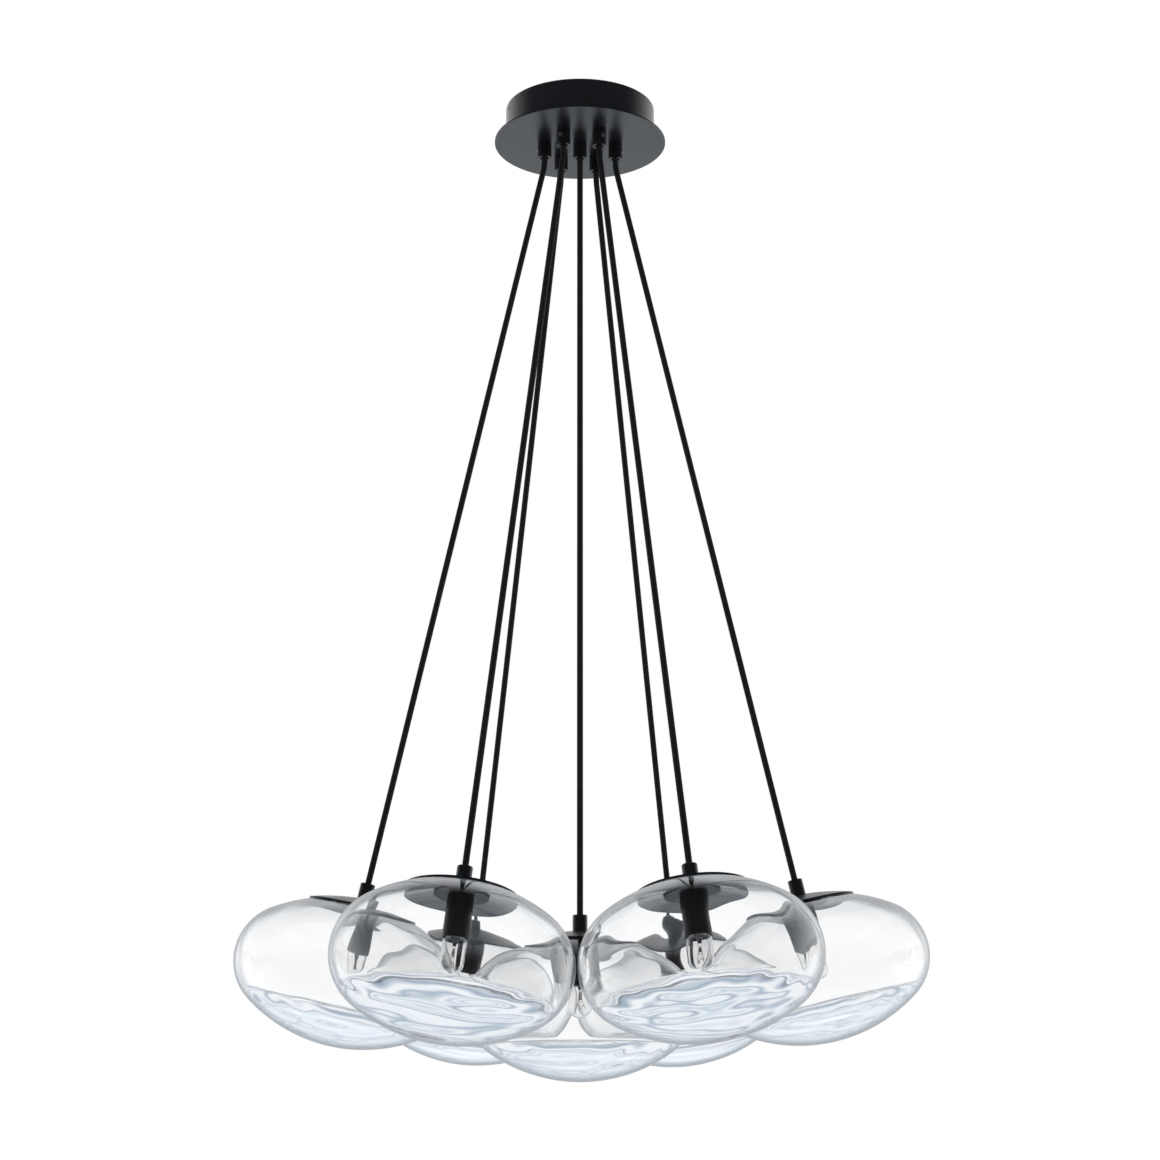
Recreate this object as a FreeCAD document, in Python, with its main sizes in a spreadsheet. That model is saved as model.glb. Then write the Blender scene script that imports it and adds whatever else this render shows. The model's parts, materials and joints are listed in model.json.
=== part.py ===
import FreeCAD, Part
import math
import os

import Sketcher

# A cluster pendant: seven clear flattened glass globes hang on black cords that come together
# under one round black canopy. Millimetres, +Z up. The origin is the middle of the ceiling face,
# and the pendant called "front" is the side of -Y.

V = FreeCAD.Vector
Constraint = Sketcher.Constraint

# Where each outer globe hangs: bearing about Z from +X in degrees, how much further out than the
# even ring it leans, and the depth of its middle below the ceiling.
OUTER_PENDANTS = [
    ("right", -0.65, 2.1, 998.7),
    ("back_right", 62.6, -1.3, 1015.1),
    ("back_left", 120.5, 1.3, 1013.4),
    ("left", 180.2, -1.3, 1003.1),
    ("front_left", 239.9, -2.0, 1007.0),
    ("front_right", 298.0, 0.5, 1005.4),
]
CENTRE = "centre"
RING_STEP = 360 / len(OUTER_PENDANTS)

SIZES = {
    # Canopy: a drum on the ceiling, closed by a wider face plate.
    "canopy_height": 41.0,
    "canopy_turn": 2.6,
    "plate_diameter": 200.0,
    "plate_thickness": 2.0,
    "drum_diameter": 174.0,
    "drum_wall": 1.2,
    "lip_width": 10.0,
    "lip_thickness": 1.5,
    "plate_screw_diameter": 3.0,
    "plate_screw_head_diameter": 5.6,
    "plate_screw_head_height": 2.2,
    "plate_screw_bite": 1.4,
    "screw_clearance": 0.1,
    # Ceiling bracket: a bar across the drum with a tab turned down at each end.
    "bracket_bearing": 199.0,
    "bracket_width": 20.0,
    "bracket_thickness": 1.5,
    "bracket_tab_drop": 16.0,
    "bracket_clearance": 0.4,
    "ceiling_hole_circle": 110.0,
    "ceiling_hole_diameter": 5.2,
    "supply_hole_offset": 17.0,
    "supply_hole_diameter": 10.0,
    "side_screw_drop": 8.3,
    "side_screw_shank_diameter": 4.0,
    "side_screw_head_diameter": 5.0,
    "side_screw_length": 8.0,
    "side_screw_proud": 0.2,
    "screw_socket_diameter": 2.2,
    "screw_socket_depth": 1.2,
    # Terminal block and earth screw under the bracket.
    "block_offset": 21.0,
    "block_length": 16.0,
    "block_width": 30.0,
    "block_height": 13.0,
    "block_way_diameter": 3.6,
    "block_way_pitch": 9.0,
    "earth_screw_offset": 33.0,
    "earth_screw_head_diameter": 8.0,
    "earth_screw_head_height": 2.6,
    # Cord grips under the face plate.
    "grip_ring_radius": 41.5,
    "centre_grip_turn": 90.0,
    "grip_diameter": 16.0,
    "grip_length": 18.8,
    "grip_stem_diameter": 10.0,
    "grip_stem_length": 8.5,
    "stem_clearance": 0.15,
    "mouth_diameter": 11.2,
    "mouth_depth": 3.5,
    "lock_nut_across_flats": 17.0,
    "lock_nut_thickness": 4.0,
    "set_screw_diameter": 5.0,
    "set_screw_height": 11.0,
    "set_screw_proud": 0.35,
    "set_screw_socket_diameter": 2.5,
    "set_screw_socket_depth": 1.6,
    # Cords. A cord swings about a point just inside its grip's mouth.
    "cord_diameter": 6.8,
    "cord_clearance": 0.15,
    "cord_pivot_height": 2.2,
    "cord_swing_gap": 1.5,
    "cord_bend_drop": 12.0,
    "bend_share": 0.45,
    "tail_top_drop": 21.0,
    "core_diameter": 2.2,
    "core_spacing": 3.0,
    "core_length": 6.0,
    # Pendants.
    "centre_drop": 1038.8,
    "globe_gap": 0.3,
    "glass_diameter": 244.0,
    "glass_height": 157.0,
    "glass_wall": 3.0,
    "glass_side_radius": 59.5,
    "glass_hole_diameter": 50.0,
    "seat_clearance": 0.2,
    "cap_diameter": 116.0,
    "cap_thickness": 2.1,
    "cap_rim_thickness": 2.0,
    "cap_boss_diameter": 18.0,
    "cap_dome_radius": 250.0,
    "low_grip_length": 17.4,
    "low_grip_socket": 10.0,
    "low_grip_chamfer": 0.8,
    "nipple_diameter": 10.0,
    "nipple_rise": 5.5,
    "wire_way_diameter": 6.0,
    "flange_diameter": 57.0,
    "flange_thickness": 2.5,
    "holder_diameter": 27.4,
    "holder_length": 48.0,
    "holder_mouth_depth": 7.0,
    "holder_mouth_wall": 0.8,
    "holder_shell_clearance": 0.25,
    "holder_contact_gap": 0.3,
    "wiring_room_diameter": 21.0,
    "wiring_room_height": 14.0,
    "wiring_room_floor": 3.0,
    # Bulbs.
    "bulb_diameter": 24.8,
    "bulb_glass_wall": 0.8,
    "bulb_reach": 34.5,
    "bulb_shoulder_radius": 6.0,
    "bulb_neck_diameter": 13.2,
    "base_inset": 4.0,
    "base_diameter": 13.8,
    "base_length": 22.0,
    "base_cone_length": 4.0,
    "contact_diameter": 4.6,
    "contact_length": 1.8,
}

DERIVED = {
    "plate_low": "-canopy_height",
    "plate_top": "plate_low + plate_thickness",
    "lip_top": "plate_top + lip_thickness",
    "drum_radius": "drum_diameter / 2",
    "drum_inner": "drum_radius - drum_wall",
    "lip_inner": "drum_radius - lip_width",
    "lip_screw_radius": "(lip_inner + drum_inner) / 2",
    "plate_screw_bearing": "bracket_bearing - canopy_turn + 45",
    "plate_screw_x": "lip_screw_radius * cos(plate_screw_bearing)",
    "plate_screw_y": "lip_screw_radius * sin(plate_screw_bearing)",
    "lip_screw_side": "lip_screw_radius * cos(45)",
    "lip_screw_hole": "plate_screw_diameter + 2 * screw_clearance",
    "plate_screw_hole": "plate_screw_diameter + screw_clearance",
    "plate_screw_low": "plate_top - plate_screw_bite + screw_clearance",
    "plate_screw_top": "lip_top + plate_screw_head_height",
    "plate_screw_radius": "plate_screw_diameter / 2",
    "plate_screw_head_radius": "plate_screw_head_diameter / 2",
    "bracket_low": "-bracket_thickness",
    "tab_low": "-bracket_tab_drop",
    "tab_reach": "sqrt((drum_inner - bracket_clearance)^2 - (bracket_width / 2)^2)",
    "tab_inner": "tab_reach - bracket_thickness",
    "side_screw_z": "-side_screw_drop",
    "side_screw_shank": "side_screw_shank_diameter / 2",
    "side_screw_head": "side_screw_head_diameter / 2",
    "side_screw_hole": "side_screw_head_diameter + 2 * screw_clearance",
    "side_screw_tab_hole": "side_screw_shank_diameter + screw_clearance",
    "side_screw_tip": "tab_reach - side_screw_length",
    "side_screw_end": "drum_radius + side_screw_proud",
    "side_socket_floor": "side_screw_end - screw_socket_depth",
    "screw_socket_radius": "screw_socket_diameter / 2",
    "ceiling_hole_radius": "ceiling_hole_circle / 2",
    "block_low": "bracket_low - block_height",
    "earth_hole": "side_screw_shank_diameter + screw_clearance",
    "earth_screw_x": "-earth_screw_offset",
    "supply_hole_x": "-supply_hole_offset",
    "earth_head_radius": "earth_screw_head_diameter / 2",
    "earth_head_low": "bracket_low - earth_screw_head_height",
    "stem_hole": "grip_stem_diameter + 2 * stem_clearance",
    "grip_radius": "grip_diameter / 2",
    "grip_mouth_z": "plate_low - grip_length",
    "mouth_top_z": "grip_mouth_z + mouth_depth",
    "mouth_radius": "mouth_diameter / 2",
    "stem_radius": "grip_stem_diameter / 2",
    "stem_top_z": "plate_low + grip_stem_length",
    "cord_radius": "cord_diameter / 2",
    "cord_bore": "cord_radius + cord_clearance",
    "set_screw_z": "grip_mouth_z + set_screw_height",
    "set_screw_radius": "set_screw_diameter / 2",
    "set_screw_hole": "set_screw_diameter + screw_clearance",
    "set_screw_end": "grip_radius + set_screw_proud",
    "set_socket_radius": "set_screw_socket_diameter / 2",
    "set_socket_floor": "set_screw_end - set_screw_socket_depth",
    "pivot_z": "grip_mouth_z + cord_pivot_height",
    "tail_low_z": "pivot_z + cord_swing_gap",
    "tail_top_z": "-tail_top_drop",
    "core_side": "core_spacing / 2",
    "bend_z": "pivot_z - cord_bend_drop",
    "bend_start": "-cord_bend_drop",
    "closest_bearings": "back_left_bearing - back_right_bearing",
    "ring_reach": "(glass_diameter + globe_gap) / (2 * sin(closest_bearings / 2))",
    "glass_a": "glass_diameter / 2",
    "glass_b": "glass_height / 2",
    "side_centre": "glass_a - glass_side_radius",
    "crown_radius":
        "(glass_a^2 + glass_b^2 - 2 * glass_a * glass_side_radius)"
        " / (2 * (glass_b - glass_side_radius))",
    "crown_centre": "crown_radius - glass_b",
    "centre_distance": "crown_radius - glass_side_radius",
    "join_radius": "crown_radius * side_centre / centre_distance",
    "join_z": "glass_side_radius * crown_centre / centre_distance",
    "low_join_z": "-join_z",
    "inner_side_radius": "glass_side_radius - glass_wall",
    "inner_crown_radius": "crown_radius - glass_wall",
    "inner_join_radius": "inner_crown_radius * side_centre / centre_distance",
    "inner_join_z": "inner_side_radius * crown_centre / centre_distance",
    "glass_floor": "-inner_join_z",
    "glass_low": "-glass_b",
    "glass_hole": "glass_hole_diameter / 2",
    "glass_hole_z": "sqrt(crown_radius^2 - glass_hole^2) - crown_centre",
    "inner_hole_z": "sqrt(inner_crown_radius^2 - glass_hole^2) - crown_centre",
    "cap_radius": "cap_diameter / 2",
    "cap_boss": "cap_boss_diameter / 2",
    "cap_top": "glass_b + cap_thickness",
    "cap_seat_radius": "crown_radius + seat_clearance",
    "cap_rim_low": "sqrt(cap_seat_radius^2 - cap_radius^2) - crown_centre",
    "cap_rim_top": "cap_rim_low + cap_rim_thickness",
    "cap_bore": "nipple_radius + stem_clearance",
    "cap_bore_low": "sqrt(cap_seat_radius^2 - cap_bore^2) - crown_centre",
    "low_grip_top": "cap_top + low_grip_length",
    "low_grip_shoulder": "low_grip_top - low_grip_socket",
    "low_grip_edge": "grip_radius - low_grip_chamfer",
    "low_grip_edge_z": "low_grip_top - low_grip_chamfer",
    "nipple_radius": "nipple_diameter / 2",
    "nipple_top": "cap_top + nipple_rise",
    "nipple_bore": "nipple_radius + stem_clearance",
    "nipple_bore_top": "nipple_top + stem_clearance",
    "wire_way": "wire_way_diameter / 2",
    "flange_radius": "flange_diameter / 2",
    "flange_top":
        "sqrt(inner_crown_radius^2 - flange_radius^2) - crown_centre - seat_clearance",
    "flange_low": "flange_top - flange_thickness",
    "holder_radius": "holder_diameter / 2",
    "holder_low": "flange_low - holder_length",
    "holder_mouth": "holder_radius - holder_mouth_wall",
    "holder_mouth_top": "holder_low + holder_mouth_depth",
    "shell_bore": "base_radius + holder_shell_clearance",
    "shell_top": "base_top + holder_contact_gap",
    "room_low": "shell_top + wiring_room_floor",
    "room_top": "room_low + wiring_room_height",
    "room_radius": "wiring_room_diameter / 2",
    "base_radius": "base_diameter / 2",
    "base_low": "holder_low + base_inset",
    "base_top": "base_low + base_length",
    "base_shell_top": "base_top - base_cone_length - contact_length",
    "contact_low": "base_top - contact_length",
    "contact_radius": "contact_diameter / 2",
    "bulb_radius": "bulb_diameter / 2",
    "bulb_inner": "bulb_radius - bulb_glass_wall",
    "bulb_neck": "bulb_neck_diameter / 2",
    "bulb_neck_inner": "bulb_neck - bulb_glass_wall",
    "bulb_low": "holder_low - bulb_reach",
    "bulb_inner_low": "bulb_low + bulb_glass_wall",
    "bulb_dome_z": "bulb_low + bulb_radius",
    "shoulder_centre": "bulb_radius - bulb_shoulder_radius",
    "bulb_shoulder_z": "base_low - sqrt(bulb_shoulder_radius^2 - (bulb_neck - shoulder_centre)^2)",
    "bulb_inner_shoulder": "bulb_shoulder_radius - bulb_glass_wall",
    "bulb_neck_low":
        "bulb_shoulder_z + sqrt(bulb_inner_shoulder^2 - (bulb_neck_inner - shoulder_centre)^2)",
}

# ---------------------------------------------------------------- the sheet of sizes
doc = FreeCAD.newDocument("ClusterPendant")
sheet = doc.addObject("Spreadsheet::Sheet", "Sizes")
entries = {alias: str(number) for alias, number in SIZES.items()}
for pendant, bearing, lean_out, drop in OUTER_PENDANTS:
    entries[pendant + "_bearing"] = str(bearing)
    entries[pendant + "_lean_out"] = str(lean_out)
    entries[pendant + "_drop"] = str(drop)
entries.update({alias: "=" + formula for alias, formula in DERIVED.items()})
grip_point = "grip_ring_radius * {wave}({bearing} + canopy_turn)"
globe_point = "(ring_reach + {name}_lean_out) * {wave}({name}_bearing)"
for step, (pendant, bearing, lean_out, drop) in enumerate(OUTER_PENDANTS):
    for axis, wave in (("x", "cos"), ("y", "sin")):
        entries[f"{pendant}_grip_{axis}"] = "=" + grip_point.format(wave=wave, bearing=RING_STEP * step)
        entries[f"{pendant}_globe_{axis}"] = "=" + globe_point.format(wave=wave, name=pendant)
        entries[f"{pendant}_way_{axis}"] = f"={pendant}_globe_{axis} - {pendant}_grip_{axis}"
    entries[pendant + "_away"] = f"=sqrt({pendant}_way_x^2 + {pendant}_way_y^2)"
    entries[pendant + "_fall"] = f"=bend_z + {pendant}_drop"
    entries[pendant + "_span"] = f"=sqrt({pendant}_away^2 + {pendant}_fall^2)"
    entries[pendant + "_taut"] = f"=1 - low_grip_shoulder / {pendant}_span"
    entries[pendant + "_end_x"] = f"={pendant}_away * {pendant}_taut"
    entries[pendant + "_end_z"] = f"=bend_start - {pendant}_fall * {pendant}_taut"
    entries[pendant + "_tilt"] = f"=atan2({pendant}_away; {pendant}_fall) / 1 deg"
    entries[pendant + "_bend_radius"] = f"=bend_share * cord_bend_drop / tan({pendant}_tilt / 2)"
entries["centre_cord_length"] = "=centre_drop + pivot_z - low_grip_shoulder"
for row, alias in enumerate(entries, start=1):
    sheet.set(f"A{row}", alias)
    sheet.setAlias(f"B{row}", alias)
for row, content in enumerate(entries.values(), start=1):
    sheet.set(f"B{row}", content)
doc.recompute()


def size(alias):
    return float(sheet.get(alias))


# ---------------------------------------------------------------- sketches and bodies
ZERO = "0"
ORIGIN = (-1, 1)
H_AXIS, V_AXIS = -1, -2
LEFT, RIGHT = 1, -1


def number(alias):
    return 0.0 if alias == ZERO else size(alias)


def new_body(label):
    body = doc.addObject("PartDesign::Body", label)
    body.Label = label
    return body


def new_sketch(body, role):
    """A sketch on one of the body's own origin planes."""
    plane = next(f for f in body.Origin.OriginFeatures if f.Role == role)
    sketch = body.newObject("Sketcher::SketchObject", body.Name + "_sketch")
    sketch.AttachmentSupport = [(plane, "")]
    sketch.MapMode = "FlatFace"
    return sketch


def dimension(sketch, kind, arguments, alias, expression=None):
    index = sketch.addConstraint(Constraint(kind, *arguments, number(alias)))
    sketch.setExpression(f"Constraints[{index}]", expression or f"Sizes.{alias}")


def place_along(sketch, geometry, end, kind, alias, axis):
    if alias == ZERO:
        sketch.addConstraint(Constraint("PointOnObject", geometry, end, axis))
    else:
        dimension(sketch, kind, (*ORIGIN, geometry, end), alias)


def place_point(sketch, geometry, end, x, y):
    """Ties a point to two sizes, or to an axis where one of them is zero."""
    place_along(sketch, geometry, end, "DistanceX", x, V_AXIS)
    place_along(sketch, geometry, end, "DistanceY", y, H_AXIS)


def arc_centre(start, end, radius, turn):
    """The centre of the arc that turns to the left or right on its way from start to end."""
    half = (end - start) * 0.5
    rise = math.sqrt(max(radius**2 - half.Length**2, 0.0))
    side = V(-half.y, half.x, 0).normalize()
    return start + half + side * rise * turn


def add_edge(sketch, start, end, bow):
    """Draws one edge and returns its number with the numbers of its first and last point."""
    if bow is None:
        return sketch.addGeometry(Part.LineSegment(start, end), False), 1, 2
    turn, radius = bow
    centre = arc_centre(start, end, number(radius), turn)
    first, last = (start, end) if turn == LEFT else (end, start)
    angles = [math.atan2(p.y - centre.y, p.x - centre.x) for p in (first, last)]
    circle = Part.Circle(centre, V(0, 0, 1), number(radius))
    edge = sketch.addGeometry(Part.ArcOfCircle(circle, *angles), False)
    dimension(sketch, "Radius", (edge,), radius)
    return (edge, 1, 2) if turn == LEFT else (edge, 2, 1)


def outline(sketch, path):
    """Draws a closed path of (x, y, bow). The bow is how the edge that ends there curves: None if
    it is straight, or the way it turns and its radius."""
    points = [V(number(x), number(y), 0) for x, y, bow in path]
    edges = [add_edge(sketch, points[i - 1], points[i], path[i][2]) for i in range(len(path))]
    for i, (x, y, bow) in enumerate(path):
        edge, first, last = edges[i]
        after = edges[(i + 1) % len(path)]
        sketch.addConstraint(Constraint("Coincident", edge, last, after[0], after[1]))
        place_point(sketch, edge, last, x, y)


def revolved(label, path):
    """A body turned about its own Z axis. The path's x is the radius and its y the height."""
    body = new_body(label)
    sketch = new_sketch(body, "XZ_Plane")
    outline(sketch, path)
    turned = body.newObject("PartDesign::Revolution", label + "_turned")
    turned.Profile = sketch
    turned.ReferenceAxis = (sketch, ["V_Axis"])
    turned.Angle = 360
    return body


def circles(sketch, places, diameter):
    for x, y in places:
        centre = V(number(x), number(y), 0)
        edge = sketch.addGeometry(Part.Circle(centre, V(0, 0, 1), number(diameter) / 2), False)
        dimension(sketch, "Diameter", (edge,), diameter)
        place_point(sketch, edge, 3, x, y)


def padded(body, sketch, low, high):
    """Pads a sketch on the XY plane from one height to another."""
    sketch.setExpression("AttachmentOffset.Base.z", f"Sizes.{low}")
    pad = body.newObject("PartDesign::Pad", body.Name + "_pad")
    pad.Profile = sketch
    pad.setExpression("Length", f"Sizes.{high} - Sizes.{low}")


def through_hole(body, role, places, diameter):
    """Cuts round holes right through the body, both ways from the plane."""
    sketch = new_sketch(body, role)
    circles(sketch, places, diameter)
    pocket = body.newObject("PartDesign::Pocket", body.Name + "_holes")
    pocket.Profile = sketch
    pocket.Type = "ThroughAll"
    pocket.Midplane = True
    return pocket


def polar(body, feature, count):
    """Repeats a feature evenly about the body's Z axis."""
    pattern = body.newObject("PartDesign::PolarPattern", body.Name + "_around")
    pattern.Originals = [feature]
    pattern.Axis = (next(f for f in body.Origin.OriginFeatures if f.Role == "Z_Axis"), [""])
    pattern.Angle = 360
    pattern.Occurrences = count
    body.Tip = pattern


def turn_about_z(degrees):
    return FreeCAD.Rotation(V(0, 0, 1), degrees)


def copies(label, body, placements):
    """One sub-part of several equal pieces: links to one body, each with its own placement."""
    links = []
    for i, placement in enumerate(placements):
        link = doc.addObject("App::Link", f"{label}_{i + 1}")
        link.LinkedObject = body
        link.LinkTransform = False
        link.Placement = placement
        links.append(link)
    group = doc.addObject("Part::Compound", label)
    group.Label = label
    group.Links = links
    return group


# ---------------------------------------------------------------- canopy
def canopy_plate():
    body = new_body("canopy_plate")
    sketch = new_sketch(body, "XY_Plane")
    circles(sketch, [(ZERO, ZERO)], "plate_diameter")
    padded(body, sketch, "plate_low", "plate_top")
    through_hole(body, "XY_Plane", [(ZERO, ZERO)], "stem_hole")
    hole = through_hole(body, "XY_Plane", [("grip_ring_radius", ZERO)], "stem_hole")
    polar(body, hole, 6)
    screws = new_sketch(body, "XY_Plane")
    circles(screws, [("plate_screw_x", "plate_screw_y")], "plate_screw_hole")
    screws.setExpression("AttachmentOffset.Base.z", "Sizes.plate_top")
    blind = body.newObject("PartDesign::Pocket", "canopy_plate_blind")
    blind.Profile = screws
    blind.setExpression("Length", "Sizes.plate_screw_bite")
    polar(body, blind, 4)
    body.Placement = FreeCAD.Placement(V(0, 0, 0), turn_about_z(size("canopy_turn")))
    return body


def canopy_drum():
    body = revolved("canopy_drum", [
        ("drum_radius", "plate_top", None),
        ("drum_radius", ZERO, None),
        ("drum_inner", ZERO, None),
        ("drum_inner", "lip_top", None),
        ("lip_inner", "lip_top", None),
        ("lip_inner", "plate_top", None),
    ])
    through_hole(body, "YZ_Plane", [(ZERO, "side_screw_z")], "side_screw_hole")
    hole = through_hole(body, "XY_Plane", [("lip_screw_side", "lip_screw_side")], "lip_screw_hole")
    polar(body, hole, 4)
    body.Placement = bracket_place()
    return body


def bracket_place():
    return FreeCAD.Placement(V(0, 0, 0), turn_about_z(size("bracket_bearing")))


def ceiling_bracket():
    """A flat bar with a tab turned down at each end: one half is drawn and repeated."""
    body = new_body("ceiling_bracket")
    sketch = new_sketch(body, "XZ_Plane")
    outline(sketch, [
        (ZERO, ZERO, None),
        (ZERO, "bracket_low", None),
        ("tab_inner", "bracket_low", None),
        ("tab_inner", "tab_low", None),
        ("tab_reach", "tab_low", None),
        ("tab_reach", ZERO, None),
    ])
    half = body.newObject("PartDesign::Pad", "ceiling_bracket_half")
    half.Profile = sketch
    half.Midplane = True
    half.setExpression("Length", "Sizes.bracket_width")
    polar(body, half, 2)
    hole = through_hole(body, "XY_Plane", [("ceiling_hole_radius", ZERO)], "ceiling_hole_diameter")
    polar(body, hole, 2)
    through_hole(body, "YZ_Plane", [(ZERO, "side_screw_z")], "side_screw_tab_hole")
    through_hole(body, "XY_Plane", [("supply_hole_x", ZERO)], "supply_hole_diameter")
    through_hole(body, "XY_Plane", [("earth_screw_x", ZERO)], "earth_hole")
    body.Placement = bracket_place()
    return body


def side_screws():
    body = revolved("side_screw", [
        (ZERO, "side_screw_tip", None),
        ("side_screw_shank", "side_screw_tip", None),
        ("side_screw_shank", "tab_reach", None),
        ("side_screw_head", "tab_reach", None),
        ("side_screw_head", "side_screw_end", None),
        ("screw_socket_radius", "side_screw_end", None),
        ("screw_socket_radius", "side_socket_floor", None),
        (ZERO, "side_socket_floor", None),
    ])
    lie_down = FreeCAD.Rotation(V(0, 1, 0), 90)
    places = []
    for half_turn in (0, 180):
        turn = turn_about_z(size("bracket_bearing") + half_turn)
        places.append(FreeCAD.Placement(V(0, 0, size("side_screw_z")), turn * lie_down))
    return copies("side_screws", body, places)


def plate_screws():
    body = revolved("plate_screw", [
        (ZERO, "plate_screw_low", None),
        ("plate_screw_radius", "plate_screw_low", None),
        ("plate_screw_radius", "lip_top", None),
        ("plate_screw_head_radius", "lip_top", None),
        ("plate_screw_head_radius", "plate_screw_top", None),
        (ZERO, "plate_screw_top", None),
    ])
    reach = size("lip_screw_radius")
    places = []
    for quarter in range(4):
        turn = turn_about_z(size("bracket_bearing") + 45 + 90 * quarter)
        places.append(FreeCAD.Placement(turn.multVec(V(reach, 0, 0)), turn))
    return copies("plate_screws", body, places)


def earth_screw():
    body = revolved("earth_screw", [
        (ZERO, ZERO, None),
        ("side_screw_shank", ZERO, None),
        ("side_screw_shank", "bracket_low", None),
        ("earth_head_radius", "bracket_low", None),
        ("earth_head_radius", "earth_head_low", None),
        (ZERO, "earth_head_low", None),
    ])
    turn = turn_about_z(size("bracket_bearing"))
    body.Placement = FreeCAD.Placement(turn.multVec(V(size("earth_screw_x"), 0, 0)), turn)
    return body


def terminal_block():
    body = new_body("terminal_block")
    block = body.newObject("PartDesign::AdditiveBox", "terminal_block_body")
    block.setExpression("Length", "Sizes.block_length")
    block.setExpression("Width", "Sizes.block_width")
    block.setExpression("Height", "Sizes.block_height")
    block.setExpression("Placement.Base.x", "-Sizes.block_length / 2")
    block.setExpression("Placement.Base.y", "-Sizes.block_width / 2")
    for row in (-1, 0, 1):
        way = body.newObject("PartDesign::SubtractiveCylinder", "terminal_block_way")
        way.setExpression("Radius", "Sizes.block_way_diameter / 2")
        way.setExpression("Height", "Sizes.block_length")
        way.Placement.Rotation = FreeCAD.Rotation(V(0, 1, 0), 90)
        way.setExpression("Placement.Base.x", "-Sizes.block_length / 2")
        way.setExpression("Placement.Base.y", f"{row} * Sizes.block_way_pitch")
        way.setExpression("Placement.Base.z", "Sizes.block_height / 2")
    turn = turn_about_z(size("bracket_bearing"))
    place = turn.multVec(V(size("block_offset"), 0, 0)) + V(0, 0, size("block_low"))
    body.Placement = FreeCAD.Placement(place, turn)
    return body


def seven_places():
    """The middle of the canopy, then the six places on the ring of grips, each turned outward."""
    middle_turn = turn_about_z(size("centre_grip_turn") + size("canopy_turn"))
    places = [FreeCAD.Placement(V(0, 0, 0), middle_turn)]
    for step in range(len(OUTER_PENDANTS)):
        turn = turn_about_z(RING_STEP * step + size("canopy_turn"))
        places.append(FreeCAD.Placement(turn.multVec(V(size("grip_ring_radius"), 0, 0)), turn))
    return places


def canopy_cord_grips():
    body = revolved("canopy_cord_grip", [
        ("cord_bore", "mouth_top_z", None),
        ("mouth_radius", "grip_mouth_z", None),
        ("grip_radius", "grip_mouth_z", None),
        ("grip_radius", "plate_low", None),
        ("stem_radius", "plate_low", None),
        ("stem_radius", "stem_top_z", None),
        ("cord_bore", "stem_top_z", None),
    ])
    sketch = new_sketch(body, "YZ_Plane")
    circles(sketch, [(ZERO, "set_screw_z")], "set_screw_hole")
    tapped = body.newObject("PartDesign::Pocket", "canopy_cord_grip_tapped")
    tapped.Profile = sketch
    tapped.Reversed = True
    tapped.setExpression("Length", "Sizes.grip_diameter")
    return copies("canopy_cord_grips", body, seven_places())


def grip_lock_nuts():
    body = new_body("grip_lock_nut")
    nut = body.newObject("PartDesign::AdditivePrism", "grip_lock_nut_hexagon")
    nut.Polygon = 6
    nut.setExpression("Circumradius", "Sizes.lock_nut_across_flats / (2 * cos(30))")
    nut.setExpression("Height", "Sizes.lock_nut_thickness")
    nut.setExpression("Placement.Base.z", "Sizes.plate_top")
    through_hole(body, "XY_Plane", [(ZERO, ZERO)], "stem_hole")
    return copies("grip_lock_nuts", body, seven_places())


def grip_set_screws():
    body = revolved("grip_set_screw", [
        (ZERO, "cord_bore", None),
        ("set_screw_radius", "cord_bore", None),
        ("set_screw_radius", "set_screw_end", None),
        ("set_socket_radius", "set_screw_end", None),
        ("set_socket_radius", "set_socket_floor", None),
        (ZERO, "set_socket_floor", None),
    ])
    lie_down = FreeCAD.Rotation(V(0, 1, 0), 90)
    lift = V(0, 0, size("set_screw_z"))
    places = [FreeCAD.Placement(p.Base + lift, p.Rotation * lie_down) for p in seven_places()]
    return copies("grip_set_screws", body, places)


def cord_tails():
    """The cords' ends inside the canopy, each with two insulated cores showing."""
    body = new_body("cord_tail")
    tail = body.newObject("PartDesign::AdditiveCylinder", "cord_tail_jacket")
    tail.setExpression("Radius", "Sizes.cord_radius")
    tail.setExpression("Height", "Sizes.tail_top_z - Sizes.tail_low_z")
    tail.setExpression("Placement.Base.z", "Sizes.tail_low_z")
    for side in (-1, 1):
        core = body.newObject("PartDesign::AdditiveCylinder", "cord_tail_core")
        core.setExpression("Radius", "Sizes.core_diameter / 2")
        core.setExpression("Height", "Sizes.core_length")
        core.setExpression("Placement.Base.x", f"{side} * Sizes.core_side")
        core.setExpression("Placement.Base.z", "Sizes.tail_top_z")
    return copies("cord_tails", body, seven_places())


# ---------------------------------------------------------------- pendants
def glass_globe(label):
    """Crown, side and underside are round arcs that run smoothly into one another. The solid base
    fills the glass up to where the side begins to turn under."""
    return revolved(label, [
        (ZERO, "glass_floor", None),
        (ZERO, "glass_low", None),
        ("join_radius", "low_join_z", (LEFT, "crown_radius")),
        ("join_radius", "join_z", (LEFT, "glass_side_radius")),
        ("glass_hole", "glass_hole_z", (LEFT, "crown_radius")),
        ("glass_hole", "inner_hole_z", None),
        ("inner_join_radius", "inner_join_z", (RIGHT, "inner_crown_radius")),
        ("inner_join_radius", "glass_floor", (RIGHT, "inner_side_radius")),
    ])


def cap(label):
    return revolved(label, [
        ("cap_bore", "cap_bore_low", None),
        ("cap_radius", "cap_rim_low", (RIGHT, "cap_seat_radius")),
        ("cap_radius", "cap_rim_top", None),
        ("cap_boss", "cap_top", (LEFT, "cap_dome_radius")),
        ("cap_bore", "cap_top", None),
    ])


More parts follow.
